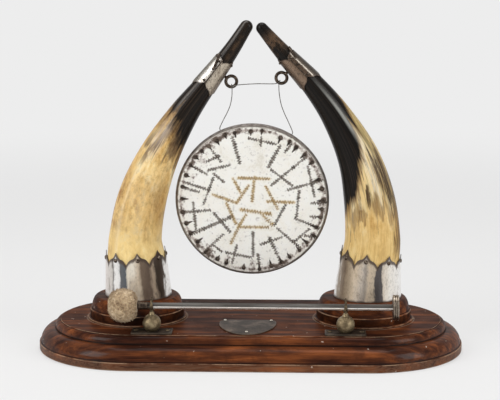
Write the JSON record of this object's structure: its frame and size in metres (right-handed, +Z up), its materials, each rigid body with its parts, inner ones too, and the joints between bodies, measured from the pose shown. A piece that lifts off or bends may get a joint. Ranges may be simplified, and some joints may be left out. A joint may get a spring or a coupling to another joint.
{
  "type": "table gong",
  "caption": "Table gong: a shallow pan gong on a wire between two curved horns with silver collars, on a moulded oval plinth, with a felt-headed beater lying in ball rests.",
  "frame": {"origin": "middle of the plinth's underside", "axes": "+X to the right along the plinth as the player sees it, +Y away from the player, +Z up"},
  "size_m": [0.5, 0.232, 0.3855],
  "materials": {
    "mahogany": "french polished mahogany, worn at the edges",
    "horn": "polished cattle horn, cream below and black above",
    "core_wood": "plain softwood",
    "collar_silver": "tarnished silver plate",
    "gong_silver": "silver plate, dull polish with darkened punch marks",
    "dark_iron": "dark bronzed iron",
    "rest_brass": "tarnished brass",
    "rod_silver": "polished plate",
    "felt": "worn beige felt",
    "plaque_pewter": "dark pewter",
    "pin_silver": "bright pins"
  },
  "bodies": {
    "stand": {"plinth": "mahogany", "left_socle": "mahogany", "right_socle": "mahogany", "left_horn": "horn", "right_horn": "horn", "left_horn_core": "core_wood", "right_horn_core": "core_wood", "left_base_collar": "collar_silver", "right_base_collar": "collar_silver", "left_tip_collar": "collar_silver", "right_tip_collar": "collar_silver", "left_ring_eye": "dark_iron", "right_ring_eye": "dark_iron", "left_fixing_screw": "dark_iron", "right_fixing_screw": "dark_iron", "left_rest_plate": "rest_brass", "left_rest_screw_inner": "rest_brass", "left_rest_screw_outer": "rest_brass", "left_rest_ball": "rest_brass", "left_rest_fork": "rest_brass", "right_rest_plate": "rest_brass", "right_rest_screw_inner": "rest_brass", "right_rest_screw_outer": "rest_brass", "right_rest_ball": "rest_brass", "right_rest_fork": "rest_brass", "plaque": "plaque_pewter", "plaque_pin_left": "pin_silver", "plaque_pin_right": "pin_silver", "plaque_pin_front": "pin_silver"},
    "hanger": {"hanging_wire": "dark_iron"},
    "gong": {"gong": "gong_silver"},
    "beater": {"beater_rod": "rod_silver", "beater_ferrule": "dark_iron", "beater_head": "felt", "beater_end_cap": "rod_silver"}
  },
  "joints": [
    {"name": "gong_swing", "type": "hinge", "parent": "stand", "child": "hanger", "pos_m": [-0.02112, 0, 0.30868], "axis": [0.9957, 0, 0.093], "range_deg": [-20, 20]},
    {"name": "gong_tilt", "type": "hinge", "parent": "hanger", "child": "gong", "pos_m": [-0.03431, -0.00012, 0.25752], "axis": [0.9983, 0.0032, -0.0575], "range_deg": [-10, 10]},
    {"name": "beater_lift", "type": "slide", "parent": "stand", "child": "beater", "axis": [0, 0, 1], "range_m": [0, 0.03]}
  ]
}
